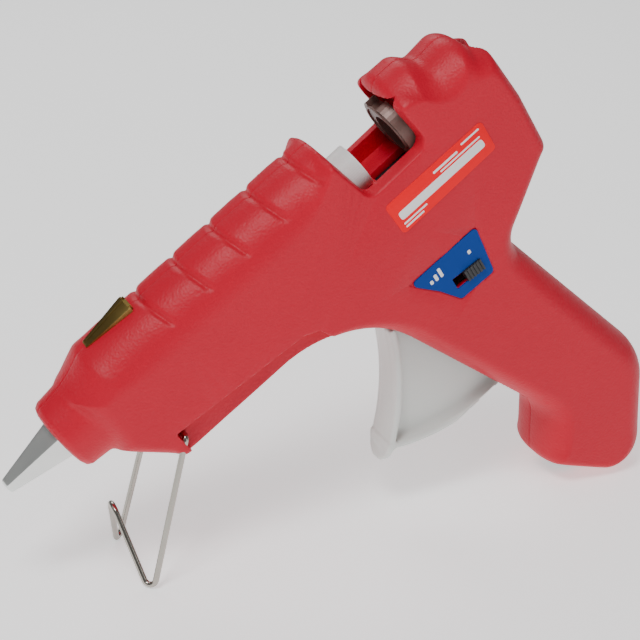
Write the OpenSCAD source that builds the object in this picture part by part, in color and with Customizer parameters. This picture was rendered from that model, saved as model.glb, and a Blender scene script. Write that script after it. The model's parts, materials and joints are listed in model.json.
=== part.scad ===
// Hot-melt glue gun with a folding wire stand, standing ready on a table.
// Units: mm. Row frame: +Z up, nozzle towards -X, handle towards +X, table at z = 0.
// Gun frame (inside place()): X along the barrel from the nozzle tip, Z across it, Y sideways.

/* [Size and pose] */
// Angle between the barrel and the table
tilt = 36.5; // [36.3:0.1:36.7]
// Half width of the housing
half_w = 15.5; // [15.3:0.1:16.5]
// Housing wall
wall = 2.4; // [2:0.1:2.8]
// Depth of the rounded edges, measured sideways
edge_d = 14; // [12:0.5:14]

/* [Feed] */
// Diameter of the glue stick the gun takes
stick_d = 11.2; // [10.8:0.1:11.3]
// Trigger stroke in degrees
pull = 20; // [16:1:20]
// Trigger half width
trig_w = 6.7; // [5.5:0.1:7]
// Radius of the trigger pin
pin_r = 2.5; // [2:0.1:2.6]

/* [Stand] */
// Wire radius of the stand
wire_r = 0.95; // [0.8:0.05:1]
// Half spacing of the two feet
foot_y = 15.5; // [15:0.5:18]

/* [Switch] */
// Travel of the heat switch
switch_run = 4; // [3:0.5:4]

/* [Surface] */
// Depth of the six grip grooves
groove_d = 0.9; // [0.5:0.1:1.1]
// Fineness of round surfaces
fine = 48; // [32:8:64]

/* [Hidden] */
x_shift = -106.4;
trig = [125.5, -34.5];
arm = 21.8;
carr_v = trig[1] + arm;
carr_u = trig[0] + arm * tan(pull / 2);
stand_p = [47.8, -20.3];
foot = [9.4, -49.85];
peak = [17.2, -29.3];
bore_r = stick_d / 2 + 0.15;
tilt_p = [155.5, -12.6];
slot_a = -5;
butt_dir = [0.603, -0.798];
gland_p = [132.05, -137.6];
screws = [[66, -22.6], [105.5, -24.4], [115.2, 11.4], [178, -18], [154.5, -62], [143, -98], [160.5, -129]];

// Outline of the housing seen from the side: u, v, corner radius, edge rounding of the next side.
outline = [
    [30, -11.5, 2, 8], [30, 11.5, 2, 11], [42, 17, 7, 14.5], [131, 17, 1.2, 1.5],
    [134, -1.5, 2.5, 2], [155.6, -1.2, 3, 1.5], [154.2, 17.2, 5, 14], [166.5, 17.2, 4, 14],
    [170.6, 12.6, 3, 12.5], [182.5, 13.4, 6, 8], [184.9, 6.6, 1.2, 8], [188.9, 3.4, 4, 5],
    [189, -14, 9, 5], [187, -33.6, 5, 6], [160.3, -50.5, 9, 9], [175, -122, 20, 10],
    [149.1, -160.2, 13, 4], [124.8, -128, 5, 8], [136.5, -111.8, 9, 7],
    [108.7, -28.6, 38, 3], [49, -27.4, 5, 3], [42.5, -27, 4, 6]
];
butt_i = 16;

function unit(a) = a / norm(a);
function crs(a, b) = a[0] * b[1] - a[1] * b[0];
function right(d) = [d[1], -d[0]];
function turn(v, a) = [v[0] * cos(a) - v[1] * sin(a), v[0] * sin(a) + v[1] * cos(a)];
function at(p, i) = p[(i + len(p)) % len(p)];
function pt(p, i) = [at(p, i)[0], at(p, i)[1]];
function dir(p, i) = unit(pt(p, i + 1) - pt(p, i));
function corner(p, i, t, f) =
    let (o1 = t + f * at(p, i - 1)[3], o2 = t + f * at(p, i)[3],
         d1 = dir(p, i - 1), d2 = dir(p, i),
         a = pt(p, i) + right(d1) * o1, b = pt(p, i) + right(d2) * o2)
    a + d1 * crs(b - a, d2) / crs(d1, d2);
// Points of one rounded corner of the outline, moved inwards by t plus a share f of the edge rounding.
function fillet(p, i, t, f) =
    let (d1 = dir(p, i - 1), d2 = dir(p, i), c = crs(d1, d2),
         phi = acos(d1 * d2), o = t + f * (at(p, i - 1)[3] + at(p, i)[3]) / 2,
         r = c < 0 ? max(at(p, i)[2] - o, 0.5) : at(p, i)[2] + min(o, t + 2),
         s = c < 0 ? 1 : -1, n = max(2, ceil(phi / 14)),
         start = corner(p, i, t, f) - d1 * r * tan(phi / 2),
         mid = start + right(d1) * r * s)
    [for (k = [0:n]) mid + turn(start - mid, -s * phi * k / n)];
function ring(p, t, f) = [for (i = [0:len(p) - 1]) each fillet(p, i, t, f)];

module place() translate([x_shift, 0, rest_z]) rotate([0, -tilt, 0]) children();
butt_c = fillet(outline, butt_i, 0, 0)[0] + right(dir(outline, butt_i - 1)) * outline[butt_i][2];
rest_z = -(butt_c[0] * sin(tilt) + butt_c[1] * cos(tilt) - outline[butt_i][2]);

// Stands a flat outline in u, v upright, from y = a to y = b.
module slab(a, b) translate([0, b, 0]) rotate([90, 0, 0]) linear_extrude(b - a) children();
// A cylinder along Y.
module ycyl(p, r, a, b) translate([p[0], a, p[1]]) rotate([-90, 0, 0]) cylinder(r = r, h = b - a, $fn = fine);
// A cone or cylinder along the barrel.
module ucyl(u1, u2, r1, r2) translate([u1, 0, 0]) rotate([0, 90, 0])
    cylinder(r1 = r1, r2 = r2, h = u2 - u1, $fn = fine);
module box(lo, hi) translate(lo) cube(hi - lo);

// Half of a pillow-edged body, from y = 0 to y = -w.
module pillow(p, t, w, d, k, share) {
    layers = concat([[0, 0]], [for (i = [0:k]) [w - d + d * sin(90 * i / k), share * (1 - cos(90 * i / k))]]);
    rings = [for (l = layers) ring(p, t, l[1])];
    n = len(rings[0]);
    m = len(layers);
    pts = [for (j = [0:m - 1]) each [for (q = rings[j]) [q[0], -layers[j][0], q[1]]]];
    sides = [for (j = [0:m - 2]) each [for (i = [0:n - 1])
        let (a = j * n + i, b = j * n + (i + 1) % n, c = b + n, e = a + n) each [[a, b, c], [a, c, e]]]];
    base = [for (i = [n - 1:-1:0]) i];
    cap = [for (i = [0:n - 1]) (m - 1) * n + i];
    polyhedron(points = pts, faces = concat(sides, [base, cap]), convexity = 8);
}

// A tunnel section along the barrel: round above the axis, straight below.
module barrel_prism(u1, u2, r, low) translate([u1, 0, 1.5]) rotate([90, 0, 90]) linear_extrude(u2 - u1)
    polygon(concat([[-r, -low], [r, -low]], [for (i = [0:24]) [r * cos(7.5 * i), r * sin(7.5 * i)]]));

// Half of the nose ring, turned about the barrel.
module nose_half() intersection() {
    rotate([0, 90, 0]) rotate_extrude($fn = fine)
        polygon([[0, 21], [10.4, 21], [12, 22.6], [12.5, 29], [13.2, 34], [13.2, 40], [0, 40]]);
    box([20, -20, -20], [41, 0, 20]);
}
module outer_half() {
    pillow(outline, 0, half_w, edge_d, 4, 1);
    nose_half();
}
module inner_half() difference() {
    pillow(outline, wall, half_w - wall, edge_d - 1, 2, 0.75);
    box([20, -20, -40], [35.1, 1, 30]);
}

// A tapered boss that grows out of the side wall.
module boss(p, r, tip) hull() {
    translate([p[0], tip - 1, p[1]]) rotate([-90, 0, 0]) cylinder(r = r, h = 1, $fn = 24);
    translate([p[0], -15, p[1]]) rotate([-90, 0, 0]) cylinder(r = r * 1.3, h = 1, $fn = 24);
}
module both_ribs() {
    for (u = [35, 73]) box([u, -20, -40], [u + 2.4, 0.1, 30]);
    box([133, -20, -9.8], [184.5, 0.1, -7.5]);
    box([133, -20, -9.75], [157, -10.9, 0]);
    box([119, -6.8, -16.4], [172, -5.3, -9.7]);
    box([119.1, -6.7, -17.6], [171.9, -3.6, -16.1]);
    box([136, -20, -17.5], [138, -6.5, -9]);
    box([164, -20, -17.5], [166, -6.5, -9]);
    boss(trig, 5.6, -9.8);
    boss(stand_p, 3.4, -6);
    for (s = screws) boss(s, 3, -0.02);
    box([35, -20, -29], [38, 0.1, -15]);
    slab(-13, -9.4)
        polygon([[37, -14.5], [50, -15.4], [93, -20.3], [96, -22.7], [98.9, -31.5], [98.9, -60], [37, -60]]);
}
// Frame of the cord outlet: z points into the handle, square to the butt.
module gland_frame() translate([gland_p[0], 0, gland_p[1]])
    rotate([0, atan2(-butt_dir[1], butt_dir[0]), 0]) children();
// Cuts that both halves share.
module both_cuts() {
    ucyl(19, 27, 7.9, 7.9);
    ucyl(26.5, 84, 9.56, 9.56);
    box([34, -8.4, -16.6], [80, 0.2, -5]);
    ucyl(120, 137, 7.5, 7.5);
    box([133.8, -11, -7.6], [158, 0.3, 12]);
    barrel_prism(150, 160, 10.9, 6);
    ucyl(180, 200, 6.6, 6.6);
    box([140, -2.8, -10.4], [169, 0.2, -7]);
    ycyl(trig, pin_r + 0.04, -12.7, -9);
    ycyl(stand_p, wire_r + 0.07, -16, -5.5);
    slab(-7.5, 0.4) polygon([[106.5, -36.5], [119, -40], [128, -62], [141, -102], [133.5, -105], [100, -70]]);
    slab(-20, -11.5)
        polygon([[38, -16], [50, -17.2], [93, -21.9], [97.6, -24.4], [100.5, -32], [100.5, -60], [38, -60]]);
    for (u = [65, 79.5, 94, 108, 122.3]) intersection() {
        translate([u, 0, -2]) rotate([0, 90, 0]) rotate_extrude($fn = fine)
            translate([20.3 - groove_d, 0]) circle(1.3, $fn = 24);
        box([u - 3, -20, 5], [u + 3, 1, 25]);
    }
    gland_frame() translate([0, 0, -2]) cylinder(r = 4.96, h = 6, $fn = fine);
}
module half_shell() difference() {
    outer_half();
    difference() {
        inner_half();
        both_ribs();
    }
    both_cuts();
}
module wedge_rib() slab(-1.6, 0) polygon([[45.5, 15], [45.5, 17.1], [60.5, 18.6], [61.5, 15]]);

module plate_outline(g)
    offset_poly([[126.2, -34.2], [152.9, -34.8], [149.4, -51.4], [136.4, -50.8], [132.6, -43.3]], g);
function offset_pts(p, g) = [for (q = ring([for (v = p) [v[0], v[1], 1.4, 0]], -g, 0)) q];
module offset_poly(p, g) polygon(offset_pts(p, g));
slot_c = [142.7, -45.6];
module slot_box(l, w, a, b, s) translate([slot_c[0], 0, slot_c[1]]) rotate([0, -slot_a, 0])
    translate([s, 0, 0]) box([-l / 2, a, -w / 2], [l / 2, b, w / 2]);

module left_shell() color([0.80, 0.18, 0.20]) place() union() {
    difference() {
        half_shell();
        for (s = screws) ycyl(s, 1.5, -9, 1);
        slab(-16, -half_w + 0.5) plate_outline(0.05);
        slot_box(11, 4.4, -16, -12, 0);
    }
    wedge_rib();
}
module right_shell() color([0.78, 0.17, 0.19]) place() mirror([0, 1, 0]) union() {
    difference() {
        half_shell();
        for (s = screws) {
            ycyl(s, 1.65, -17, 1);
            ycyl(s, 3.1, -17, -7.9);
        }
    }
    wedge_rib();
}

module nozzle() color([0.72, 0.74, 0.73]) place() difference() {
    union() {
        rotate([0, 90, 0]) cylinder(r1 = 2.65, r2 = 7.2, h = 20.5, $fn = 6);
        translate([20.5, 0, 0]) rotate([0, 90, 0]) cylinder(r = 7.4, h = 4, $fn = 6);
        ucyl(24.5, 34, 5, 5);
    }
    ucyl(-1, 3, 1, 1);
    ucyl(3, 7, 1, 2.9);
    ucyl(7, 35, 2.9, 2.9);
}
module nozzle_ball() color([0.8, 0.8, 0.82]) place() translate([6.55, 0, 0]) sphere(r = 2.3, $fn = fine);

// A tube swept along a helix about the barrel, closed at both ends.
module coil(r, w, pitch, turns, n, m) {
    steps = turns * n;
    pts = [for (i = [0:steps]) each [for (j = [0:m - 1]) let (a = 360 * i / n, b = 360 * j / m)
        [pitch * i / n + w * sin(b), (r + w * cos(b)) * cos(a), (r + w * cos(b)) * sin(a)]]];
    sides = [for (i = [0:steps - 1]) each [for (j = [0:m - 1])
        let (a = i * m + j, b = i * m + (j + 1) % m) each [[a, b, b + m], [a, b + m, a + m]]]];
    polyhedron(points = pts, faces = concat(sides, [[for (j = [m - 1:-1:0]) j],
        [for (j = [0:m - 1]) steps * m + j]]), convexity = 8);
}
module nozzle_spring() color([0.62, 0.63, 0.65]) place() translate([9.3, 0, 0])
    coil(2.2, 0.3, 2, 11.5, 14, 6);

module melt_chamber() color([0.70, 0.71, 0.72]) place() difference() {
    union() {
        ucyl(26.6, 80, 9.5, 9.5);
        ucyl(80, 92, 7.5, 7.5);
        box([38.5, -8, -16], [71.5, 8, -5]);
    }
    ucyl(24, 34.2, 5.06, 5.06);
    ucyl(34, 60, 3.2, bore_r);
    ucyl(60, 93, bore_r, bore_r);
    box([38, -7.1, -14.9], [72, 7.1, -11.1]);
}
module ptc_heater() color([0.32, 0.33, 0.36]) place() box([40, -6, -14], [70, 6, -12]);
module electrode_plates() color([0.80, 0.66, 0.34]) place() {
    box([39.5, -5.5, -14.4], [76, 5.5, -14]);
    box([39.5, -5.5, -12], [76, 5.5, -11.6]);
}
module insulation_film() color([0.78, 0.48, 0.12]) place() difference() {
    box([39, -6.9, -14.7], [71, 6.9, -11.3]);
    box([38, -6.6, -14.4], [72, 6.6, -11.6]);
}
module inlet_sleeve() color([0.93, 0.92, 0.88]) place() difference() {
    union() {
        ucyl(81, 93, 9.2, 9.2);
        ucyl(93, 96, 9.2, 7.4);
        ucyl(96, 138.6, 7.4, 7.4);
    }
    ucyl(80, 92.2, 7.53, 7.53);
    ucyl(92, 137, bore_r + 0.2, bore_r + 0.2);
    ucyl(137, 139, bore_r + 0.2, 6.9);
}
module sleeve_clamp() color([0.60, 0.61, 0.63]) place() difference() {
    union() {
        ucyl(84, 89, 9.9, 9.9);
        box([84, -1.5, 9], [89, 1.5, 12.5]);
    }
    ucyl(83, 90, 9.22, 9.22);
    box([83, -0.4, 8], [90, 0.4, 13]);
}
module shell_clip() color([0.66, 0.56, 0.33]) place() difference() {
    hull() {
        box([44.8, -2.5, 17.03], [45.4, 2.5, 17.75]);
        box([61.2, -4, 17.03], [61.8, 4, 19.6]);
    }
    hull() {
        box([44, -1.9, 16.9], [45.3, 1.9, 17.25]);
        box([61.7, -3.4, 16.9], [62, 3.4, 19.1]);
    }
    ucyl(40, 66, 1, 1);
}

// A path in space with each inner corner rounded to its radius: x, y, z, radius.
function xyz(q) = [q[0], q[1], q[2]];
function bend(a, b, c, r, n) =
    let (u = unit(a - b), v = unit(c - b), phi = acos(u * v), t = r / tan(phi / 2),
         mid = b + unit(u + v) * r / sin(phi / 2), e1 = unit(b + u * t - mid),
         e2 = unit(b + v * t - mid - e1 * ((b + v * t - mid) * e1)))
    [for (k = [0:n]) mid + r * (e1 * cos((180 - phi) * k / n) + e2 * sin((180 - phi) * k / n))];
function bent(p, n) = [xyz(p[0]),
    for (i = [1:len(p) - 2]) each bend(xyz(p[i - 1]), xyz(p[i]), xyz(p[i + 1]), p[i][3], n),
    xyz(p[len(p) - 1])];
// Rings of a mitred tube: each ring is the one before it, carried along to the next mitre plane.
function carry(ring, d, q, nrm) = [for (g = ring) g + d * (((q - g) * nrm) / (d * nrm))];
function rings(path, ring, i) = i >= len(path) ? [] :
    let (d = unit(path[i] - path[i - 1]),
         nrm = i < len(path) - 1 ? d + unit(path[i + 1] - path[i]) : d, now = carry(ring, d, path[i], nrm))
    concat([now], rings(path, now, i + 1));
module tube(path, r, m) {
    d = unit(path[1] - path[0]);
    e = unit(cross(d, abs(d[1]) > 0.9 ? [1, 0, 0] : [0, 1, 0]));
    f = cross(d, e);
    first = [for (j = [0:m - 1]) path[0] + r * (e * cos(360 * j / m) + f * sin(360 * j / m))];
    all = concat([first], rings(path, first, 1));
    n = len(all);
    sides = [for (i = [0:n - 2]) each [for (j = [0:m - 1])
        let (a = i * m + j, b = i * m + (j + 1) % m) each [[a, b + m, b], [a, a + m, b + m]]]];
    polyhedron(points = [for (g = all) each g], faces = concat(sides, [[for (j = [0:m - 1]) j],
        [for (j = [m - 1:-1:0]) (n - 1) * m + j]]), convexity = 8);
}
stand_half = [[stand_p[0], 8, stand_p[1], 0], [stand_p[0], 14, stand_p[1], 1.6],
    [foot[0] - 2.25, foot_y + 0.9, foot[1] - 2.87, 1.9], [peak[0] + 0.8, 0, peak[1] + 1.9, 2.2]];
stand_path = bent([stand_half[0], stand_half[1], stand_half[2], stand_half[3],
    [stand_half[2][0], -stand_half[2][1], stand_half[2][2], 1.9],
    [stand_p[0], -14, stand_p[1], 1.6], [stand_p[0], -8, stand_p[1], 0]], 5);
module wire_stand() color([0.72, 0.71, 0.66]) place() {
    tube(stand_path, wire_r - 0.01, 16);
    for (s = [-1, 1]) translate([stand_p[0], s > 0 ? 7 : -12.5, stand_p[1]])
        rotate([-90, 0, 0]) cylinder(r = wire_r, h = 5.5, $fn = 24);
}

// Trigger, seen from the side: a hollow-cheeked finger plate, a rim about the pin, a thin web and a fork arm.
face_c = [37.9, -17.7];
face_r = 81.7;
function polar(c, r, a) = c + r * [cos(a), sin(a)];
function sweep_arc(c, r, a, b, n) = [for (i = [0:n]) polar(c, r, a + (b - a) * i / n)];
module face_band(r1, r2, a, b)
    polygon(concat(sweep_arc(face_c, r1, a, b, 14), sweep_arc(face_c, r2, b, a, 14)));
module rim_band(r1, r2, a, b) polygon(concat(sweep_arc(trig, r1, a, b, 20), sweep_arc(trig, r2, b, a, 20)));
module trigger() color([0.89, 0.91, 0.88]) place() difference() {
    union() {
        intersection() {
            slab(-trig_w, trig_w) face_band(face_r, face_r + 2.6, -55, -21.5);
            tongue();
        }
        slab(-trig_w, trig_w) rim_band(57, 59.5, -128.5, -77);
        slab(-2.2, 2.2) polygon(concat(sweep_arc(face_c, face_r + 1, -50, -23, 12), [[121, -33], [130, -38]],
            sweep_arc(trig, 58, -77, -127, 16)));
        ycyl(trig, 6, -3, 3);
        slab(-2.1, 2.1) arm_outline();
    }
    ycyl(trig, pin_r + 0.06, -20, 20);
    turned_arm() slab(-5, 5)
        polygon([[-1.78, arm - 3.2], [1.78, arm - 3.2], [1.78, arm + 9], [-1.78, arm + 9]]);
}
module tongue() union() {
    translate([60, -20, -82]) cube([80, 40, 60]);
    translate([86.7, 0, -82.2]) rotate([0, -52, 0]) translate([-30, 0, 0]) rotate([0, 90, 0])
        cylinder(r = trig_w, h = 60, $fn = fine);
}
module turned_arm() translate([trig[0], 0, trig[1]]) rotate([0, pull / 2, 0]) children();
module arm_outline() translate([trig[0], trig[1]]) rotate(-pull / 2)
    polygon([[-5, 0], [5, 0], [4.2, arm + 2.6], [-4.2, arm + 2.6]]);
module trigger_pin() color([0.66, 0.67, 0.69]) place() ycyl(trig, pin_r, -12.6, 12.6);

// Torsion spring round the trigger pin: coil, one leg up to the housing rail, one down to the web.
module return_spring() color([0.64, 0.65, 0.67]) place() {
    translate([trig[0], 3.6, trig[1]]) rotate([0, 0, 90]) coil(3.5, 0.45, 1, 5.25, 20, 6);
    translate([trig[0] + 3.5, 3.6, trig[1]]) rotate([0, 20, 0]) cylinder(r = 0.45, h = 17, $fn = 24);
    translate([trig[0] + 1, 8.85, trig[1] - 3.5]) rotate([0, 200, 0]) cylinder(r = 0.45, h = 12, $fn = 24);
}
module feed_carriage() color([0.20, 0.21, 0.23]) place() difference() {
    union() {
        for (s = [-1, 1]) box([carr_u - 4, s > 0 ? 2.5 : -5, -15.8], [145, s > 0 ? 5 : -2.5, -10.1]);
        box([138, -5, -15.8], [151, 5, -10.1]);
        for (s = [-1, 1]) box([150, s > 0 ? 2.5 : -5, -15.8], [159, s > 0 ? 5 : -2.5, -10.1]);
        ycyl([carr_u, carr_v], 1.6, -5, 5);
    }
    ycyl(tilt_p, 1.36, -6, 6);
}
module stick_gripper() color([0.47, 0.36, 0.32]) place() difference() {
    union() {
        slab(-2.2, 2.2) polygon([[153.4, -14.4], [157.6, -14.4], [156.1, -6.8], [152.5, -6.8]]);
        intersection() {
            barrel_prism(152.4, 156.2, 10.3, 9.5);
            box([145, -20, -7.3], [165, 20, 11.9]);
        }
        ycyl(tilt_p, 1.3, -4.9, 4.9);
    }
    translate([145, 0, 0]) rotate([0, 90, 0]) cylinder(r = bore_r + 0.6, h = 20, $fn = fine);
    box([150, -3.5, 9], [160, 3.5, 13]);
}
module switch_body() color([0.12, 0.12, 0.13]) place() difference() {
    slot_box(15, 9, -12.9, -7, 0);
    slot_box(10.6, 3.4, -14, -10.5, 0);
}
module switch_knob() color([0.09, 0.09, 0.10]) place() difference() {
    union() {
        slot_box(6.4, 3.9, -16.4, -13.1, 2);
        slot_box(3, 3, -13.2, -10.8, 2);
    }
    for (i = [-2:2]) slot_box(0.5, 8, -17, -16, 2 + i * 1.15);
}
module switch_plate() color([0.10, 0.33, 0.65]) place() difference() {
    slab(-half_w - 0.1, -half_w + 0.45) plate_outline(0);
    slot_box(10.6, 4.1, -20, -10, 0);
}
module side_label() color([0.98, 0.12, 0.18]) place() slab(-half_w - 0.2, -half_w)
    offset_poly([[134.9, -7.9], [172.8, -8.4], [171.9, -18.9], [134.7, -19.3]], 0);
module shell_screws() color([0.58, 0.59, 0.61]) place() for (s = screws) {
    ycyl(s, 1.45, -8.5, 8);
    difference() {
        ycyl(s, 2.9, 7.95, 10);
        translate([s[0] - 2, 9.2, s[1] - 0.35]) cube([4, 2, 0.7]);
        translate([s[0] - 0.35, 9.2, s[1] - 2]) cube([0.7, 2, 4]);
    }
}
module cord_gland() color([0.10, 0.10, 0.11]) place() gland_frame() difference() {
    union() {
        translate([0, 0, -1.03]) cylinder(r = 6, h = 1, $fn = fine);
        translate([0, 0, -0.5]) cylinder(r = 4.9, h = 15, $fn = fine);
        translate([0, 0, 4.6]) cylinder(r = 6.4, h = 2, $fn = fine);
    }
    translate([0, 0, -2]) cylinder(r = 3.5, h = 18, $fn = fine);
}
module heater_leads() color([0.85, 0.84, 0.80]) place() {
    tube(bent([[145.6, -1.5, -127.4], [148, -4, -125, 2], [151, -9.4, -116, 5], [148, -9.4, -80, 5],
        [146.5, -8.4, -56, 5], [146.4, -8.4, -50.65]], 3), 0.8, 10);
    tube(bent([[145.6, 1.5, -127.4], [148, 4, -125, 2], [151, 9.4, -116, 5], [147, 9.4, -64, 6],
        [142, 9.4, -20, 6], [104, 9, -18.4, 8], [80, 4, -15, 3], [76.2, 3, -14.2]], 3), 0.8, 10);
    tube(bent([[138.5, -8.4, -50.3], [138.4, -8.4, -53.6, 1.2], [133, -9, -52.6, 2], [133, -9, -20, 5],
        [104, -9, -18.4, 8], [80, -4, -12.5, 3], [76.2, -3, -11.8]], 3), 0.8, 10);
}

left_shell();
right_shell();
nozzle();
nozzle_ball();
nozzle_spring();
melt_chamber();
ptc_heater();
electrode_plates();
insulation_film();
inlet_sleeve();
sleeve_clamp();
shell_clip();
wire_stand();
trigger();
trigger_pin();
return_spring();
feed_carriage();
stick_gripper();
switch_body();
switch_knob();
switch_plate();
side_label();
shell_screws();
cord_gland();
heater_leads();
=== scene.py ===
import json
import math

import bmesh
import bpy
import numpy as np
from mathutils import Matrix, Vector


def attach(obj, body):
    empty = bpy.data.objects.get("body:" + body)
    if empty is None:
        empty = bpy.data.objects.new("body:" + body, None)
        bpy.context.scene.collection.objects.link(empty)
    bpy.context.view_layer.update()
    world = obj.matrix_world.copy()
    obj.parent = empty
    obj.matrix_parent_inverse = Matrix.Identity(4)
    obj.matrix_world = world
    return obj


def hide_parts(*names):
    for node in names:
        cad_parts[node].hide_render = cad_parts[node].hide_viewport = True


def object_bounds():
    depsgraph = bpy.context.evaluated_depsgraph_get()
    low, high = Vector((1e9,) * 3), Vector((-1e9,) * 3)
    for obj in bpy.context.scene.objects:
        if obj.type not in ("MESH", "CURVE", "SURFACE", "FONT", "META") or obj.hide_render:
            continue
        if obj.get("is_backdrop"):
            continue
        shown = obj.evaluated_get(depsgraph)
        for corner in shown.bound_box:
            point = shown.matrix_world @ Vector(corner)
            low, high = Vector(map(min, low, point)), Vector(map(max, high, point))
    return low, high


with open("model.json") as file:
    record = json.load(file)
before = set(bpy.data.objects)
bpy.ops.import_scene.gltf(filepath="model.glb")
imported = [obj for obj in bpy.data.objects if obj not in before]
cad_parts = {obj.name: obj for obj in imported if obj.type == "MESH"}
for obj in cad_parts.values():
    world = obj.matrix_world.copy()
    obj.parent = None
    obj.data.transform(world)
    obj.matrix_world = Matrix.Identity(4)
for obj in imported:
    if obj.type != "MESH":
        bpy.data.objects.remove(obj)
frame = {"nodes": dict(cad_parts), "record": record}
size_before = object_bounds()

# ---------------------------------------------------------------- gun frame
# The barrel runs along u, tilted up by TILT; v is square to it and y runs across the gun.
TILT = math.radians(36.5)
# Where the nozzle tip (u = 0, v = 0) sits in the part's frame, in millimetres.
X0, Z0 = -106.4, 35.4755
CO, SI = math.cos(TILT), math.sin(TILT)
MM = 0.001


def row(p):
    """Gun-frame millimetres (u, y, v) to metres in the part's frame."""
    p = np.asarray(p, float)
    u, y, v = p[..., 0], p[..., 1], p[..., 2]
    return np.stack([X0 + u * CO - v * SI, y, Z0 + u * SI + v * CO], -1) * MM


def add_mesh(name, verts, faces, smooth=True):
    """A mesh object from gun-frame points."""
    mesh = bpy.data.meshes.new(name)
    mesh.from_pydata(row(verts).tolist(), [], [tuple(int(i) for i in f) for f in faces])
    mesh.update()
    if smooth:
        mesh.polygons.foreach_set("use_smooth", np.ones(len(mesh.polygons), bool))
    ob = bpy.data.objects.new(name, mesh)
    bpy.context.scene.collection.objects.link(ob)
    return ob


def quads_mesh(name, verts, quads):
    """A mesh of quads only, built fast."""
    mesh = bpy.data.meshes.new(name)
    n, m = len(verts), len(quads)
    mesh.vertices.add(n)
    mesh.vertices.foreach_set("co", row(verts).astype(np.float32).ravel())
    mesh.loops.add(m * 4)
    mesh.loops.foreach_set("vertex_index", quads.astype(np.int32).ravel())
    mesh.polygons.add(m)
    mesh.polygons.foreach_set("loop_start", np.arange(0, m * 4, 4, dtype=np.int32))
    mesh.polygons.foreach_set("use_smooth", np.ones(m, bool))
    mesh.update(calc_edges=True)
    mesh.validate()
    ob = bpy.data.objects.new(name, mesh)
    bpy.context.scene.collection.objects.link(ob)
    return ob


# ---------------------------------------------------------------- distance-field tools
def smax(a, b, k):
    """Larger of two distances, blended over a width of k."""
    h = np.clip(0.5 + 0.5 * (a - b) / k, 0, 1)
    return b + (a - b) * h + k * h * (1 - h)


def smin(a, b, k):
    """Smaller of two distances, blended over a width of k."""
    return -smax(-a, -b, k)


def box_sd(p, lo, hi, r=0.0):
    """Signed distance to a box with edges rounded by r."""
    d = [np.maximum(lo[i] - p[i], p[i] - hi[i]) + r for i in range(3)]
    out = np.sqrt(sum(np.maximum(q, 0) ** 2 for q in d))
    return out + np.minimum(np.maximum(np.maximum(d[0], d[1]), d[2]), 0) - r


def poly_sd(u, v, pts):
    """Signed distance to a closed outline in u, v (negative inside)."""
    pts = np.asarray(pts, float)
    best = np.full(u.shape, 1e9)
    inside = np.zeros(u.shape, bool)
    for i in range(len(pts)):
        a, b = pts[i], pts[(i + 1) % len(pts)]
        e = b - a
        t = np.clip(((u - a[0]) * e[0] + (v - a[1]) * e[1]) / max(e @ e, 1e-12), 0, 1)
        best = np.minimum(best, (u - a[0] - t * e[0]) ** 2 + (v - a[1] - t * e[1]) ** 2)
        if a[1] != b[1]:
            cross = (a[1] > v) != (b[1] > v)
            inside ^= cross & (u < (b[0] - a[0]) * (v - a[1]) / (b[1] - a[1]) + a[0])
    d = np.sqrt(best)
    return np.where(inside, -d, d)


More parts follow.
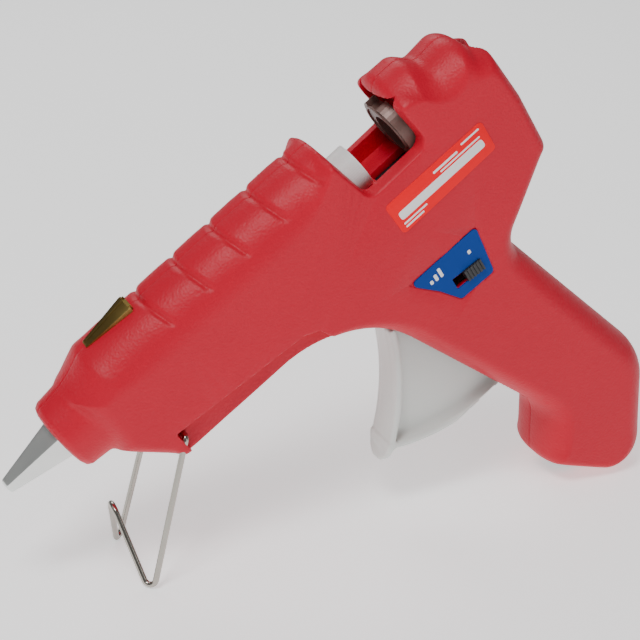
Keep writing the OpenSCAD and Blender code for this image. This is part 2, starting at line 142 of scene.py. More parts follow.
def surface_net(fn, lo, hi, h, push=3):
    """Quads of fn = 0 in a box, one vertex a crossed cell, pushed onto the surface."""
    slab = 24
    n = [int(math.ceil((hi[i] - lo[i]) / h)) + 1 for i in range(3)]
    ax = [lo[i] + h * np.arange(n[i]) for i in range(3)]
    f = np.empty(n, np.float32)
    for i in range(0, n[0], slab):
        g = np.meshgrid(ax[0][i : i + slab], ax[1], ax[2], indexing="ij")
        f[i : i + slab] = fn(g)
    s = f < 0
    c = [m - 1 for m in n]
    corner = [(a, b, d) for a in (0, 1) for b in (0, 1) for d in (0, 1)]
    cs = np.stack([s[a : a + c[0], b : b + c[1], d : d + c[2]] for a, b, d in corner])
    cell = cs.any(0) & ~cs.all(0)
    idx = np.argwhere(cell)
    num = np.full(c, -1, np.int64)
    num[cell] = np.arange(len(idx))
    acc = np.zeros((len(idx), 3))
    cnt = np.zeros(len(idx))
    val = {k: f[idx[:, 0] + k[0], idx[:, 1] + k[1], idx[:, 2] + k[2]].astype(float) for k in corner}
    for a in corner:
        for d in range(3):
            if a[d] == 0:
                b = tuple(a[j] + (1 if j == d else 0) for j in range(3))
                x = (val[a] < 0) != (val[b] < 0)
                t = val[a] / np.where(x, val[a] - val[b], 1)
                pos = np.array(a, float) + np.zeros((len(idx), 3))
                pos[:, d] += t
                acc[x] += pos[x]
                cnt[x] += 1
    verts = np.array(lo) + h * (idx + acc / cnt[:, None])
    quads = []
    for d in range(3):
        e = [0, 0, 0]
        e[d] = 1
        a1, a2 = [(1, 2), (2, 0), (0, 1)][d]
        sl0 = tuple(slice(0, n[j] - e[j]) for j in range(3))
        sl1 = tuple(slice(e[j], n[j]) for j in range(3))
        x = s[sl0] != s[sl1]
        p = np.argwhere(x)
        ok = (p[:, a1] > 0) & (p[:, a2] > 0) & (p[:, a1] < n[a1] - 1) & (p[:, a2] < n[a2] - 1)
        p = p[ok]
        o1 = np.zeros(3, int)
        o2 = np.zeros(3, int)
        o1[a1] = 1
        o2[a2] = 1
        q = np.stack([num[tuple((p - k).T)] for k in (o1 * 0, o1, o1 + o2, o2)], 1)
        flip = s[tuple(p.T)]
        q[~flip] = q[~flip][:, ::-1]
        quads.append(q)
    quads = np.concatenate(quads)
    quads = quads[(quads >= 0).all(1)]
    for _ in range(push):
        e = 0.15 * h
        g = [verts[:, 0], verts[:, 1], verts[:, 2]]
        f0 = fn(g)
        ahead = [fn([g[j] + (e if j == i else 0) for j in range(3)]) for i in range(3)]
        behind = [fn([g[j] - (e if j == i else 0) for j in range(3)]) for i in range(3)]
        gr = (np.stack(ahead, 1) - np.stack(behind, 1)) / (2 * e)
        k = np.clip(f0 / np.maximum((gr**2).sum(1), 0.05), -0.4 * h, 0.4 * h)
        verts = verts - gr * k[:, None]
    return verts, quads


# ---------------------------------------------------------------- outline of the housing
# Corners of the side view: u, v, corner radius, rounding of the edge there.
OUT = [
    (30, -11.5, 2, 8), (30, 11.5, 2, 11), (42, 17, 7, 14.5), (131, 17, 1.2, 1.5),
    (134, -1.5, 2.5, 2), (155.6, -1.2, 3, 1.5), (154.2, 17.2, 5, 14), (166.5, 17.2, 4, 14),
    (170.6, 12.6, 3, 12.5), (182.5, 13.4, 6, 8), (184.9, 6.6, 1.2, 8), (188.9, 3.4, 4, 5),
    (189, -14, 9, 5), (187, -33.6, 5, 6), (160.3, -50.5, 9, 9), (175, -122, 20, 10),
    (149.1, -160.2, 13, 4), (124.8, -128, 5, 8), (136.5, -111.8, 9, 7),
    (108.7, -28.6, 38, 3), (49, -27.4, 5, 3), (42.5, -27, 4, 6),
]


def rounded(points, close=3.0):
    """Dense outline with rounded corners: rows of u, v, edge rounding."""
    n = len(points)
    P = np.array([q[:2] for q in points], float)
    arcs = []
    for i in range(n):
        a, b, c = P[i - 1], P[i], P[(i + 1) % n]
        d1, d2 = (b - a) / np.linalg.norm(b - a), (c - b) / np.linalg.norm(c - b)
        cr = d1[0] * d2[1] - d1[1] * d2[0]
        phi = math.acos(max(-1, min(1, d1 @ d2)))
        r = points[i][2]
        t = r * math.tan(phi / 2)
        start, s = b - d1 * t, (1 if cr > 0 else -1)
        left = np.array([-d1[1], d1[0]]) * s
        mid = start + left * r
        m = max(3, int(phi * r / 0.8) + 2)
        out = []
        for k in range(m + 1):
            an = s * phi * k / m
            c0, s0 = math.cos(an), math.sin(an)
            w = start - mid
            out.append(mid + np.array([w[0] * c0 - w[1] * s0, w[0] * s0 + w[1] * c0]))
        e0, e1 = points[i - 1][3], points[i][3]
        arcs.append([(q[0], q[1], e0 + (e1 - e0) * k / m) for k, q in enumerate(out)])
    pts = []
    for i in range(n):
        pts += arcs[i]
        a, b = arcs[i][-1], arcs[(i + 1) % n][0]
        count = int(math.hypot(b[0] - a[0], b[1] - a[1]) / close)
        for k in range(1, count):
            f = k / count
            pts.append((a[0] + (b[0] - a[0]) * f, a[1] + (b[1] - a[1]) * f, a[2]))
    return np.array(pts)


DENSE = rounded(OUT)


class Plane:
    """Outline distance and edge rounding on a fine u, v grid, read back by bilinear steps."""

    def __init__(self, pts, lo, hi, h):
        self.lo, self.h = np.array(lo, float), h
        nu, nv = int((hi[0] - lo[0]) / h) + 2, int((hi[1] - lo[1]) / h) + 2
        U, V = np.meshgrid(lo[0] + h * np.arange(nu), lo[1] + h * np.arange(nv), indexing="ij")
        self.d = poly_sd(U, V, pts[:, :2])
        num, den = np.zeros(U.shape), np.zeros(U.shape)
        seg = np.hypot(*(np.roll(pts[:, :2], -1, 0) - np.roll(pts[:, :2], 1, 0)).T)
        for q, L in zip(pts, seg):
            w = L / ((U - q[0]) ** 2 + (V - q[1]) ** 2 + 2.0) ** 2.5
            num += w * q[2]
            den += w
        self.e = num / den
        self.shape = U.shape

    def read(self, a, u, v):
        x = np.clip((u - self.lo[0]) / self.h, 0, self.shape[0] - 1.001)
        y = np.clip((v - self.lo[1]) / self.h, 0, self.shape[1] - 1.001)
        i, j = x.astype(int), y.astype(int)
        fx, fy = x - i, y - j
        near = a[i, j] * (1 - fx) + a[i + 1, j] * fx
        far = a[i, j + 1] * (1 - fx) + a[i + 1, j + 1] * fx
        return near * (1 - fy) + far * fy


HALF_W, EDGE_D, WALL = 15.5, 14.0, 2.4
plane = Plane(DENSE, (14, -182), (196, 26), 0.5)


def pillow(u, y, v, t):
    """The rounded housing body, moved inwards by t."""
    d = plane.read(plane.d, u, v) + t
    e = np.maximum(plane.read(plane.e, u, v) - 0.35 * t, 0.6)
    w = HALF_W - t
    deep = EDGE_D - 0.45 * t
    qy = np.maximum(np.abs(y) - (w - deep), 0) / deep
    qd = np.maximum(e + d, 0) / e
    rad = np.sqrt(qy**2 + qd**2)
    grad = np.sqrt((qy / deep) ** 2 + (qd / e) ** 2) / np.maximum(rad, 1e-6)
    body = (rad - 1) / np.maximum(grad, 1 / 14)
    return np.maximum(body, np.abs(y) - w)


# Collar profile: radius, u.
NOSE = [(0, 20.9), (9.6, 20.9), (11.2, 21.6), (12.0, 23.0), (12.5, 29), (13.0, 33), (13.4, 38), (0, 38)]


def nose(u, y, v):
    """The turned front collar round the nozzle."""
    return poly_sd(np.hypot(y, v), u, NOSE)


def line_v(u, pts):
    """Height v of a broken line at u."""
    return np.interp(u, [p[0] for p in pts], [p[1] for p in pts])


# Lower edge that the side walls step in along, and the features seen from the side, all as u, v.
STEP = [(20, -16.2), (38, -16.2), (50, -17.2), (93, -21.9), (97.6, -24.4), (100.6, -33), (101.2, -60)]
GROOVES = (65.0, 79.5, 94.0, 108.5, 123.0)
SCREWS = [(66, -22.6), (105.5, -24.4), (115.2, 11.4), (178, -18), (154.5, -62), (143, -98), (160.5, -129)]
PIN = (125.5, -34.5)
SLOT = (142.7, -45.6)
SLOT_TILT = math.radians(5)
SLOT_CO, SLOT_SI = math.cos(SLOT_TILT), math.sin(SLOT_TILT)
PLATE = [(126.2, -34.2), (152.9, -34.8), (149.4, -51.4), (136.4, -50.8), (132.6, -43.3)]
LABEL = [(134.9, -7.9), (172.8, -8.4), (171.9, -18.9), (134.7, -19.3)]


def fade(x, a, b):
    """Smooth 0 to 1 between a and b."""
    t = np.clip((x - a) / (b - a), 0, 1)
    return t * t * (3 - 2 * t)


def cyl_u(u, y, v, r, a, b):
    """Cylinder of radius r on the barrel axis from a to b."""
    return np.maximum(np.hypot(y, v) - r, np.maximum(a - u, u - b))


def shell_field(side):
    """Distance field of one housing half; side -1 is the left one with the switch."""

    def fn(g):
        u, y, v = g[0], g[1] * side, g[2]
        f = pillow(u, y, v, 0)
        f = smin(f, nose(u, y, v), 1.6)
        ang = np.arctan2(np.abs(y), v + 2.0)
        on_top = (1 - fade(ang, 0.72, 0.92)) * fade(v, 2.0, 6.0)
        for q in GROOVES:
            x = u - q - 0.014 * y * y
            cut = 0.85 * np.exp(-((x / 0.95) ** 2)) + 0.14 * np.exp(-(((x + 2.2) / 2.2) ** 2))
            f = f + cut * on_top
        step = smax(smax(v - line_v(u, STEP), 11.5 - y, 0.7), np.maximum(46.4 - u, u - 101.0), 0.7)
        f = smax(f, -step, 0.5)
        hollow = np.maximum(pillow(u, y, v, WALL), 36 - u)
        hollow = np.maximum(hollow, -box_sd((u, y, v), (132, -20, -10), (184.6, 20, 30)))
        keel = np.maximum(v - line_v(u, STEP) - 1.9, 9.4 - y)
        hollow = np.maximum(hollow, -np.maximum(keel, u - 99.5))
        f = np.maximum(f, -hollow)
        cuts = np.minimum(cyl_u(u, y, v, 7.75, 15, 27), cyl_u(u, y, v, 9.56, 26, 84))
        cuts = np.minimum(cuts, cyl_u(u, y, v, 7.55, 118, 137))
        trough = box_sd((u, y, v), (133.6, -11, -7.6), (158, 11, 14), 0.3)
        arch = np.where(v > 1.5, np.hypot(y, v - 1.5), np.abs(y)) - 10.9
        arch = np.maximum(arch, np.maximum(150 - u, u - 160.2))
        cuts = np.minimum(cuts, np.minimum(trough, np.maximum(arch, -6.5 - v)))
        cuts = np.minimum(cuts, cyl_u(u, y, v, 6.6, 180, 200))
        cuts = np.minimum(cuts, box_sd((u, y, v), (140, -2.8, -10.5), (169, 2.8, -7)))
        slot = poly_sd(u, v, [(106.5, -36.5), (119, -40), (128, -62), (141, -102), (133.5, -105), (100, -70)])
        cuts = np.minimum(cuts, np.maximum(slot, np.abs(y) - 7.5))
        f = smax(f, -cuts, 0.35)
        a = (u - 132.05) * 0.603 + (v + 137.6) * -0.798
        rad = np.hypot(y, (u - 132.05) * 0.798 + (v + 137.6) * 0.603)
        f = smax(f, -np.maximum(rad - 4.96, np.maximum(-a - 6, a - 3)), 0.3)
        if side < 0:
            f = smax(f, -np.maximum(poly_sd(u, v, PLATE) - 0.05, HALF_W - 0.45 - y), 0.12)
            du, dv = u - SLOT[0], v - SLOT[1]
            su, sv = du * SLOT_CO - dv * SLOT_SI, du * SLOT_SI + dv * SLOT_CO
            hole = np.maximum(np.maximum(np.abs(su) - 5.5, np.abs(sv) - 2.2), 10 - y)
            f = np.maximum(f, -hole)
        else:
            for p in SCREWS:
                hole = np.maximum(np.hypot(u - p[0], v - p[1]) - 3.1, 7.9 - y)
                well = np.maximum(np.hypot(u - p[0], v - p[1]) - 4.6, np.abs(y - 10) - 4)
                f = np.minimum(f, np.maximum(well, pillow(u, y, v, 0.6)))
                f = smax(f, -hole, 0.3)
        return smax(f, -y, 0.32)

    return fn


def soft(ob, ratio):
    """Thins a mesh to the given share of its faces and shades it smooth."""
    if ratio < 1:
        m = ob.modifiers.new("thin", "DECIMATE")
        m.ratio = ratio
        dg = bpy.context.evaluated_depsgraph_get()
        new = bpy.data.meshes.new_from_object(ob.evaluated_get(dg))
        ob.modifiers.clear()
        old, ob.data = ob.data, new
        bpy.data.meshes.remove(old)
    ob.data.polygons.foreach_set("use_smooth", np.ones(len(ob.data.polygons), bool))
    return ob


def sharp(ob, angle=38):
    """Splits the shading at corners sharper than the angle."""
    ob.data.set_sharp_from_angle(angle=math.radians(angle))


SLOTS = {}


def done(ob, body, slot, *nodes, angle=40):
    """Sets the shading, body, slot and replaced nodes of a finished piece."""
    sharp(ob, angle)
    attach(ob, body)
    if nodes:
        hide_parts(*nodes)
    SLOTS[ob.name] = slot


SHELL_CELL = 0.55
SHELL_KEPT = 0.5
for name, side in (("left", -1), ("right", 1)):
    lo = (19.5, -16.2 if side < 0 else -0.9, -176.5)
    hi = (190.2, 0.9 if side < 0 else 16.2, 18.4)
    verts, quads = surface_net(shell_field(side), lo, hi, SHELL_CELL)
    half_shell = soft(quads_mesh(f"housing_{name}", verts, quads), SHELL_KEPT)
    done(half_shell, "housing", "red_plastic", f"{name}_shell", angle=50)

# ---------------------------------------------------------------- trigger
# Centre and radius of the arc that the finger plate follows.
FC, FR = (37.9, -17.7), 81.7
TRIGGER_CELL = 0.4
TRIGGER_KEPT = 0.6


def trigger_field(g):
    """Distance field of the trigger: finger plate, back rim, web, hub and forked arm."""
    u, y, v = g
    rf = np.hypot(u - FC[0], v - FC[1])
    af = np.degrees(np.arctan2(v - FC[1], u - FC[0]))
    rp = np.hypot(u - PIN[0], v - PIN[1])
    ap = np.degrees(np.arctan2(v - PIN[1], u - PIN[0]))
    arc = np.maximum(af + 21.8, -54.8 - af) * math.pi / 180 * rf
    tip = np.hypot(y, np.minimum((af + 54.8) * math.pi / 180 * rf - 6.4, 0)) - 6.6
    plate = smax(np.abs(rf - FR - 1.35) - 1.25, np.maximum(np.abs(y) - 6.6, np.maximum(arc, tip)), 1.3)
    rim = smax(np.abs(rp - 58.25) - 1.15, np.abs(y) - 6.55, 1.2)
    rim = np.maximum(rim, np.maximum(ap + 77, -127.3 - ap) * math.pi / 180 * rp)
    edge = np.maximum(rp - 58.3, FR + 0.8 - rf)
    low = poly_sd(u, v, [(96, -96), (88, -84), (112, -44), (121, -33), (130, -38), (141, -92), (128, -99)])
    web = np.maximum(np.maximum(edge, low), np.abs(y) - 2.1)
    f = smin(smin(plate, rim, 1.0), web, 2.6)
    hub = smax(np.hypot(u - PIN[0], v - PIN[1]) - 5.9, np.abs(y) - 2.95, 0.5)
    c, s = math.cos(math.radians(10)), math.sin(math.radians(10))
    a = (u - PIN[0]) * c - (v - PIN[1]) * s
    b = (u - PIN[0]) * s + (v - PIN[1]) * c
    arm = np.maximum(np.abs(a) - 4.9 + 0.033 * b, np.maximum(-b, b - 24.3))
    arm = np.maximum(arm, np.abs(y) - 2.05)
    f = smin(f, smin(hub, arm, 1.0), 0.8)
    f = np.maximum(f, 2.57 - rp)
    return np.maximum(f, -np.maximum(np.abs(a) - 1.79, 18.7 - b))


verts, quads = surface_net(trigger_field, (82, -7.6, -92), (146, 7.6, -8), TRIGGER_CELL)
lever = soft(quads_mesh("trigger_lever", verts, quads), TRIGGER_KEPT)
done(lever, "trigger", "white_plastic", "trigger", angle=55)


# ---------------------------------------------------------------- lathe, sweep and slab helpers
def loft(name, rings, cap=True, smooth=True):
    """Closed rings of gun-frame points joined in order."""
    m, n = len(rings), len(rings[0])
    verts = np.concatenate(rings)
    faces = []
    for i in range(m - 1):
        for j in range(n):
            a, b = i * n + j, i * n + (j + 1) % n
            faces.append((a, b, b + n, a + n))
    if cap:
        faces.append(tuple(range(n))[::-1])
        faces.append(tuple((m - 1) * n + j for j in range(n)))
    ob = add_mesh(name, verts, faces, smooth)
    fix_normals(ob)
    return ob


def fix_normals(ob):
    """Turns every face outwards."""
    bm = bmesh.new()
    bm.from_mesh(ob.data)
    bmesh.ops.recalc_face_normals(bm, faces=bm.faces)
    bm.to_mesh(ob.data)
    bm.free()


def spline(points, radii, n):
    """A path with rounded inner corners."""
    P = np.array(points, float)
    out = [P[0]]
    for i in range(1, len(P) - 1):
        a, b, c, r = P[i - 1], P[i], P[i + 1], radii[i - 1]
        u, v = (a - b) / np.linalg.norm(a - b), (c - b) / np.linalg.norm(c - b)
        phi = math.acos(u @ v)
        t = r / math.tan(phi / 2)
        mid = b + (u + v) / np.linalg.norm(u + v) * r / math.sin(phi / 2)
        e1 = b + u * t - mid
        e1 /= np.linalg.norm(e1)
        w = b + v * t - mid
        w -= e1 * (w @ e1)
        w /= np.linalg.norm(w)
        for k in range(n + 1):
            an = (math.pi - phi) * k / n
            out.append(mid + r * (e1 * math.cos(an) + w * math.sin(an)))
    out.append(P[-1])
    return np.array(out)


def tube(name, path, r, m=24, round_end=0.25):
    """A round wire of m sides along a path, with chamfered ends."""
    d = np.gradient(path, axis=0)
    d /= np.linalg.norm(d, axis=1)[:, None]
    e = np.cross(d[0], [1.0, 0.3, 0.2])
    e /= np.linalg.norm(e)
    an = 2 * math.pi * np.arange(m) / m
    last = len(path) - 1
    out = []
    for i, (p, t) in enumerate(zip(path, d)):
        e = e - t * (e @ t)
        e /= np.linalg.norm(e)
        round_shape = np.cos(an)[:, None] * e + np.sin(an)[:, None] * np.cross(t, e)
        if i == 0:
            out.append(p + (r - round_end) * round_shape)
            p = p + t * round_end
        if i == last:
            out.append(p - t * round_end + r * round_shape)
            out.append(p + (r - round_end) * round_shape)
        else:
            out.append(p + r * round_shape)
    return loft(name, out)


def turned(profile, m=64):
    """Rings of a surface turned about the barrel axis; the profile is u, radius."""
    an = 2 * math.pi * np.arange(m) / m
    return [np.stack([np.full(m, float(u)), np.cos(an) * r, np.sin(an) * r], 1) for u, r in profile]


def plate_solid(name, outline, y0, y1, bevel):
    """A flat plate with a small bevel on its outer face; outline in u, v; outer face at y1."""
    P = np.asarray(outline, float)
    area = 0.5 * np.sum(P[:, 0] * np.roll(P[:, 1], -1) - np.roll(P[:, 0], -1) * P[:, 1])
    if area < 0:
        P = P[::-1]
    d = np.roll(P, -1, 0) - np.roll(P, 1, 0)
    nrm = np.stack([d[:, 1], -d[:, 0]], 1) / np.maximum(np.linalg.norm(d, axis=1), 1e-9)[:, None]
    s = 1 if y1 > y0 else -1
    lay = [(P, y0), (P, y1 - s * bevel)]
    lay += [(P - nrm * bevel * 0.35, y1 - s * bevel * 0.3), (P - nrm * bevel, y1)]
    rings = [np.stack([q[:, 0], np.full(len(q), y), q[:, 1]], 1) for q, y in lay]
    return loft(name, rings, smooth=False)


def round_poly(points, r, m=6):
    """A flat outline with each corner rounded to r."""
    out = []
    P = np.array(points, float)
    for i in range(len(P)):
        a, b, c = P[i - 1], P[i], P[(i + 1) % len(P)]
        u, v = (a - b) / np.linalg.norm(a - b), (c - b) / np.linalg.norm(c - b)
        phi = math.acos(u @ v)
        t = r / math.tan(phi / 2)
        mid = b + (u + v) / np.linalg.norm(u + v) * r / math.sin(phi / 2)
        a0 = math.atan2(*(b + u * t - mid)[::-1])
        a1 = math.atan2(*(b + v * t - mid)[::-1])
        da = (a1 - a0 + math.pi) % (2 * math.pi) - math.pi
        turns = [a0 + da * k / m for k in range(m + 1)]
        out += [mid + r * np.array([math.cos(w), math.sin(w)]) for w in turns]
    return np.array(out)


# ---------------------------------------------------------------- wire stand
half = [(47.8, 6.9, -20.3), (47.8, 14.2, -20.3), (6.83, 16.4, -53.17), (18.5, 0, -26.3)]
wire = half + [(6.83, -16.4, -53.17), (47.8, -14.2, -20.3), (47.8, -6.9, -20.3)]
path = spline(wire, [1.6, 2.1, 3.4, 2.1, 1.6], 12)
done(tube("stand_wire", path, 0.95, 20), "stand", "nickel_wire", "wire_stand", angle=70)


# ---------------------------------------------------------------- nozzle
def hex_ring(u, rad, m=96):
    """A ring round a hexagon with slightly blunted corners; rad is to the corners."""
    an = 2 * math.pi * np.arange(m) / m
    k = (an + math.pi / 2 + math.pi / 6) % (math.pi / 3) - math.pi / 6
    r = np.minimum(rad * math.cos(math.pi / 6) / np.cos(k), rad * 0.985)
    return np.stack([np.full(m, u), r * np.sin(an), r * np.cos(an)], 1)


def circle_ring(u, r, m=96):
    an = 2 * math.pi * np.arange(m) / m
    return np.stack([np.full(m, u), r * np.sin(an), r * np.cos(an)], 1)


rings = [circle_ring(u, r) for u, r in ((3.0, 0.95), (0.25, 1.0), (0.02, 1.2), (0.0, 1.7))]
rings += [hex_ring(0.25, 2.35), hex_ring(0.6, 2.68)]
rings += [hex_ring(u, 2.65 + (7.2 - 2.65) * u / 20.5) for u in np.linspace(1, 20.5, 12)]
rings += [hex_ring(20.9, 7.35), hex_ring(24.3, 7.35)]
rings += [circle_ring(u, r) for u, r in ((24.5, 5.0), (34.0, 5.0), (34.0, 2.9), (7.2, 2.9), (3.05, 1.0))]
done(loft("nozzle_tip", rings, cap=False), "housing", "nozzle_metal", "nozzle", angle=24)

# ---------------------------------------------------------------- brass clip: a folded strip with two planes
# Stations along the clip: u, half width, top, underside.
STATIONS = (
    (44.9, 1.9, 17.55, 16.95), (45.3, 2.1, 17.8, 16.9), (52.5, 3.05, 18.6, 16.8),
    (60.9, 4.0, 19.55, 16.7), (61.7, 4.0, 19.5, 16.7),
)


def clip_ring(u, w, top, low):
    """Cross-section of the folded strip."""
    g = (top - low) * 0.5
    sec = [
        (-w, low), (-w, top - g), (-w * 0.93, top - g * 0.85), (-w * 0.16, top - 0.12),
        (-w * 0.10, top - 0.5), (w * 0.10, top - 0.5), (w * 0.16, top - 0.12),
        (w * 0.52, top), (w * 0.60, top - 0.55), (w * 0.66, top - 0.55), (w * 0.70, top - 0.15),
        (w * 0.93, top - g * 0.8), (w, top - g), (w, low),
    ]
    return np.array([(u, a, b) for a, b in sec])


CLIP = [clip_ring(*station) for station in STATIONS]
done(loft("clip_strip", CLIP, smooth=False), "housing", "brass", "shell_clip", angle=20)
LIP_SECTION = (
    (-3.2, 17.0), (-3.3, 18.6), (-1.0, 19.9), (-0.7, 18.9),
    (0.7, 18.9), (1.0, 19.9), (3.3, 18.6), (3.2, 17.0),
)
LIP = [np.array([(u, a, b) for a, b in LIP_SECTION]) for u in (61.3, 62.3)]
done(loft("clip_lip", LIP, smooth=False), "housing", "brass", angle=20)

# ---------------------------------------------------------------- sleeve at the back of the barrel
SLEEVE = [
    (100, 7.2), (100, 7.4), (138.0, 7.4), (138.45, 7.25), (138.6, 6.95),
    (138.55, 6.75), (137.0, 5.97), (100, 5.97), (100, 7.2),
]
done(loft("sleeve_tube", turned(SLEEVE, 72), cap=False), "housing", "white_sleeve")

# ---------------------------------------------------------------- raised rim on the stick gripper
an = np.radians(np.linspace(-35, 215, 40))
rim = np.stack([np.full(40, 152.35), 8.9 * np.cos(an), 1.5 + 8.6 * np.sin(an)], 1)
done(tube("gripper_rim", rim, 0.5, 12), "gripper", "brown_metal", angle=60)

# ---------------------------------------------------------------- label, blue plate and their plain marks
label_film = plate_solid("label_film", round_poly(LABEL, 1.3), -15.45, -15.7, 0.08)
done(label_film, "housing", "label", "side_label", angle=30)


def slot_pt(s, t):
    """A point given along and across the switch slot, as u, v."""
    return (SLOT[0] + s * SLOT_CO + t * SLOT_SI, SLOT[1] - s * SLOT_SI + t * SLOT_CO)


U_AX = np.array(LABEL[1]) - np.array(LABEL[0])
U_AX /= np.linalg.norm(U_AX)
V_AX = np.array([-U_AX[1], U_AX[0]])
ORG = np.array(LABEL[3]) + np.array([0.0, 0.1])


def bar(name, at, size, y, along=U_AX, up=V_AX):
    """A raised printed bar on the left side."""
    a = np.array(at, float)
    pts = [a, a + along * size[0], a + along * size[0] + up * size[1], a + up * size[1]]
    outline = round_poly(pts, min(size) * 0.3, 4)
    done(plate_solid(name, outline, y + 0.05, y - 0.05, 0.02), "housing", "label", angle=30)


# Each bar on the label: along, up, length, height.
BARS = (
    (2.0, 3.9, 33.0, 2.9), (17.5, 8.6, 9.5, 0.75), (29.0, 9.6, 7.0, 0.6),
    (19.5, 7.4, 15.5, 0.55), (1.8, 2.3, 9.0, 0.6), (1.8, 1.1, 7.0, 0.6),
)
for i, (s, t, length, height) in enumerate(BARS):
    bar(f"label_bar_{i}", ORG + U_AX * s + V_AX * t, (length, height), -15.72)
P_AX = np.array([SLOT_CO, -SLOT_SI])
P_UP = np.array([SLOT_SI, SLOT_CO])
HIGH_END = np.array([131.6, -39.4])
LOW_END = np.array([146.2, -40.4])
for i, height in enumerate((1.3, 2.3, 3.3)):
    bar(f"plate_mark_high_{i}", HIGH_END + P_AX * (i * 1.9), (1.1, height), -15.62, P_AX, P_UP)
bar("plate_mark_low_0", LOW_END, (1.1, 1.3), -15.62, P_AX, P_UP)

# Red floor seen through the switch slot.
win = [slot_pt(-5.1, -1.6), slot_pt(5.1, -1.6), slot_pt(5.1, 1.6), slot_pt(-5.1, 1.6)]
done(plate_solid("switch_window", win, -10.5, -10.72, 0.04), "housing", "red_plastic", angle=30)


# ---------------------------------------------------------------- small rounded edges on CAD nodes that stay
# Edge widths in millimetres.
EDGES = {
    "switch_knob": 0.12, "stick_gripper": 0.2, "feed_carriage": 0.25, "switch_body": 0.15,
    "cord_gland": 0.2,
}
for node, width in EDGES.items():
    edge = frame["nodes"][node].modifiers.new("edge", "BEVEL")
    edge.width = width * MM
    edge.segments = 2
    edge.limit_method = "ANGLE"
    edge.angle_limit = math.radians(35)


# ---------------------------------------------------------------- materials
def shader(
    name, color, rough, metal=0.0, spec=0.5, coat=0.0, grain=(), tone=None, scratch=None,
    sub=0.0, sub_rad=None, spread=0.06,
):
    """A material with uneven tone and roughness, and a chain of bump layers.

    tone is noise scale and amount; scratch is noise scale and stretch; each grain layer is
    scale, strength, depth in metres, and "cells", "n" for plain noise, or a stretch.
    """
    mat = bpy.data.materials.new(name)
    mat.use_nodes = True
    nt = mat.node_tree
    b = nt.nodes["Principled BSDF"]
    b.inputs["Base Color"].default_value = (*color, 1)
    b.inputs["Roughness"].default_value = rough
    b.inputs["Metallic"].default_value = metal
    b.inputs["Specular IOR Level"].default_value = spec
    b.inputs["Coat Weight"].default_value = coat
    b.inputs["Coat Roughness"].default_value = 0.1
    if sub:
        b.inputs["Subsurface Weight"].default_value = sub
        b.inputs["Subsurface Radius"].default_value = sub_rad
        b.inputs["Subsurface Scale"].default_value = MM
    co = nt.nodes.new("ShaderNodeTexCoord")
    last = None

    def noise(scale, detail=3.0, rough_=0.5, stretch=None):
        n = nt.nodes.new("ShaderNodeTexNoise")
        n.inputs["Scale"].default_value = scale
        n.inputs["Detail"].default_value = detail
        n.inputs["Roughness"].default_value = rough_
        if stretch:
            mp = nt.nodes.new("ShaderNodeMapping")
            mp.inputs["Scale"].default_value = stretch
            mp.inputs["Rotation"].default_value = (0, TILT, 0)
            nt.links.new(co.outputs["Object"], mp.inputs["Vector"])
            nt.links.new(mp.outputs["Vector"], n.inputs["Vector"])
        else:
            nt.links.new(co.outputs["Object"], n.inputs["Vector"])
        return n

    if tone:
        scale, amount = tone
        n = noise(scale, 4.0)
        mix = nt.nodes.new("ShaderNodeMix")
        mix.data_type = "RGBA"
        mix.inputs["A"].default_value = (*[c * (1 - amount) for c in color], 1)
        mix.inputs["B"].default_value = (*[min(1, c * (1 + amount)) for c in color], 1)
        nt.links.new(n.outputs["Fac"], mix.inputs["Factor"])
        nt.links.new(mix.outputs["Result"], b.inputs["Base Color"])
    rn = noise(scratch[0] if scratch else 600, 2.0, 0.5, scratch[1] if scratch else None)
    mr = nt.nodes.new("ShaderNodeMapRange")
    mr.inputs["To Min"].default_value = max(0.02, rough - spread)
    mr.inputs["To Max"].default_value = min(1, rough + spread)
    nt.links.new(rn.outputs["Fac"], mr.inputs["Value"])
    nt.links.new(mr.outputs["Result"], b.inputs["Roughness"])
    for scale, strength, dist, kind in grain:
        if kind == "cells":
            t = nt.nodes.new("ShaderNodeTexVoronoi")
            t.feature = "SMOOTH_F1"
            t.inputs["Scale"].default_value = scale
            nt.links.new(co.outputs["Object"], t.inputs["Vector"])
            out = t.outputs["Distance"]
        else:
            out = noise(scale, 3.0, 0.55, kind if isinstance(kind, tuple) else None).outputs["Fac"]
        bp = nt.nodes.new("ShaderNodeBump")
        bp.inputs["Strength"].default_value = strength
        bp.inputs["Distance"].default_value = dist
        nt.links.new(out, bp.inputs["Height"])
        if last:
            nt.links.new(last, bp.inputs["Normal"])
        last = bp.outputs["Normal"]
    if last:
        nt.links.new(last, b.inputs["Normal"])
    return mat


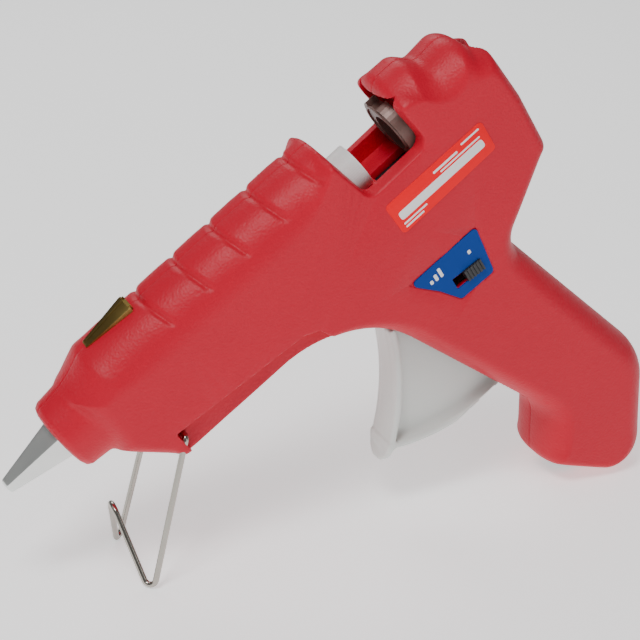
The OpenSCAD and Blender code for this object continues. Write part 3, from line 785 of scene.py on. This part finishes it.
STRETCHED = (0.1, 1, 1)
M = {
    "red_plastic": shader(
        "red_abs", (0.58, 0.004, 0.026), 0.48, spec=0.3, tone=(45, 0.05),
        grain=[(1400, 0.5, 0.0002, "cells"), (380, 0.25, 0.0002, "n")],
    ),
    "nozzle_metal": shader(
        "nozzle_alloy", (0.78, 0.80, 0.78), 0.33, 0.9, tone=(120, 0.08), scratch=(260, (0.12, 1, 1)),
        grain=[(700, 0.10, 0.00006, STRETCHED)], spread=0.08,
    ),
    "steel": shader(
        "plain_steel", (0.55, 0.55, 0.56), 0.28, 1.0, tone=(200, 0.06),
        grain=[(900, 0.08, 0.00005, "n")],
    ),
    "cast_aluminium": shader(
        "cast_alloy", (0.58, 0.59, 0.60), 0.45, 1.0, tone=(90, 0.10),
        grain=[(900, 0.3, 0.00015, "n")],
    ),
    "ceramic": shader(
        "heater_ceramic", (0.06, 0.06, 0.07), 0.7, tone=(200, 0.2),
        grain=[(1500, 0.2, 0.0001, "n")],
    ),
    "brass": shader(
        "dull_brass", (0.26, 0.18, 0.055), 0.34, 1.0, tone=(260, 0.28), scratch=(300, STRETCHED),
        grain=[(600, 0.14, 0.00008, STRETCHED)], spread=0.1,
    ),
    "polyimide": shader(
        "amber_film", (0.50, 0.20, 0.02), 0.2, coat=0.4, tone=(160, 0.1),
        grain=[(500, 0.1, 0.00006, "n")],
    ),
    "white_sleeve": shader(
        "white_silicone", (0.86, 0.86, 0.84), 0.5, tone=(120, 0.03), sub=0.25,
        sub_rad=(1.2, 1.0, 0.9), grain=[(900, 0.1, 0.00006, "n")],
    ),
    "nickel_wire": shader(
        "nickel_steel", (0.40, 0.38, 0.34), 0.2, 1.0, tone=(160, 0.10), scratch=(500, (1, 1, 0.15)),
        grain=[(900, 0.07, 0.00004, "n")], spread=0.07,
    ),
    "white_plastic": shader(
        "white_abs", (0.76, 0.79, 0.76), 0.36, tone=(60, 0.02), sub=0.15,
        sub_rad=(1.0, 1.0, 0.9), grain=[(700, 0.08, 0.00008, "n")],
    ),
    "dark_plastic": shader(
        "black_plastic", (0.018, 0.018, 0.02), 0.42, tone=(150, 0.2),
        grain=[(1500, 0.25, 0.00012, "cells")],
    ),
    "brown_metal": shader(
        "brown_plate", (0.17, 0.10, 0.085), 0.42, 0.3, tone=(300, 0.25), scratch=(400, (1, 1, 0.2)),
        grain=[(700, 0.2, 0.0001, "n")],
    ),
    "blue_plate": shader(
        "blue_print", (0.001, 0.045, 0.27), 0.5, spec=0.15, tone=(80, 0.05),
        grain=[(1300, 0.10, 0.00006, "n")],
    ),
    "label": shader(
        "label_red", (0.95, 0.0, 0.012), 0.5, spec=0.12, tone=(60, 0.03),
        grain=[(260, 0.06, 0.00008, "n")],
    ),
    "wire_cover": shader(
        "lead_cover", (0.72, 0.71, 0.66), 0.5, tone=(200, 0.05),
        grain=[(900, 0.1, 0.00006, "n")],
    ),
}
WHITE = shader(
    "print_white", (0.90, 0.88, 0.88), 0.4, tone=(90, 0.02), grain=[(1200, 0.05, 0.00004, "n")],
)


def paint(ob, material):
    ob.data.materials.clear()
    ob.data.materials.append(material)


for piece in frame["record"]["subparts"]:
    paint(frame["nodes"][piece["node"]], M[piece["material_slot"]])
for name, slot in SLOTS.items():
    printed = name.startswith(("label_bar", "plate_mark"))
    paint(bpy.data.objects[name], WHITE if printed else M[slot])

# ---------------------------------------------------------------- floor, light, camera
# The floor lies just under the feet, and glows a little so that it stays pale to the horizon.
FLOOR_SIZE, FLOOR_DROP, FLOOR_GLOW = 40, 0.0002, 0.8
bpy.ops.mesh.primitive_plane_add(size=FLOOR_SIZE, location=(0, 0, -FLOOR_DROP))
floor = bpy.context.object
floor.name = "floor"
floor_mat = shader("pale_floor", (0.86, 0.86, 0.86), 0.9, spec=0.1)
floor_shader = floor_mat.node_tree.nodes["Principled BSDF"]
floor_shader.inputs["Emission Color"].default_value = (1, 1, 1, 1)
floor_shader.inputs["Emission Strength"].default_value = FLOOR_GLOW
floor.data.materials.append(floor_mat)
floor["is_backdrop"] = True

world = bpy.data.worlds.new("studio")
bpy.context.scene.world = world
world.use_nodes = True
bg = world.node_tree.nodes["Background"]
bg.inputs["Color"].default_value = (1.0, 1.0, 1.0, 1)
bg.inputs["Strength"].default_value = 0.17


def area(name, loc, target, size, watts):
    """A rectangular light at loc that faces the target."""
    light = bpy.data.lights.new(name, "AREA")
    light.shape = "RECTANGLE"
    light.size, light.size_y = size
    light.energy = watts
    ob = bpy.data.objects.new(name, light)
    ob.location = loc
    ob.rotation_euler = (Vector(target) - Vector(loc)).to_track_quat("-Z", "Y").to_euler()
    bpy.context.scene.collection.objects.link(ob)


area("key", (-0.35, -0.30, 0.85), (0, 0, 0.06), (0.3, 0.3), 5.5)
area("fill", (0.5, -0.9, 0.35), (0, 0, 0.07), (0.5, 0.5), 0.9)
area("back", (0.1, 0.8, 0.7), (0, 0, 0.08), (0.5, 0.3), 2.2)

# Camera: direction from the gun, point looked at, distance in metres and lens in millimetres.
az, el = math.radians(-24.4), math.radians(24.6)
LOOK_AT, DISTANCE, LENS, SENSOR = Vector((-0.0067, 0, 0.0698)), 0.5206, 96.6375, 36
back = Vector((math.sin(az) * math.cos(el), -math.cos(az) * math.cos(el), math.sin(el)))
side = Vector((math.cos(az), math.sin(az), 0))
up = Vector((-math.sin(az) * math.sin(el), math.cos(az) * math.sin(el), math.cos(el)))
cam_data = bpy.data.cameras.new("camera")
cam_data.sensor_width = SENSOR
cam_data.lens = LENS
cam = bpy.data.objects.new("camera", cam_data)
bpy.context.scene.collection.objects.link(cam)
pose = Matrix((side, up, back)).transposed().to_4x4()
pose.translation = LOOK_AT + back * DISTANCE
cam.matrix_world = pose
bpy.context.scene.camera = cam

# ---------------------------------------------------------------- sizes and finish
size_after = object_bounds()
flat = lambda b: [[float(x) for x in p] for p in b] if hasattr(b[0], "__len__") else [float(x) for x in b]
{"loaded": flat(size_before), "finished": flat(size_after)}
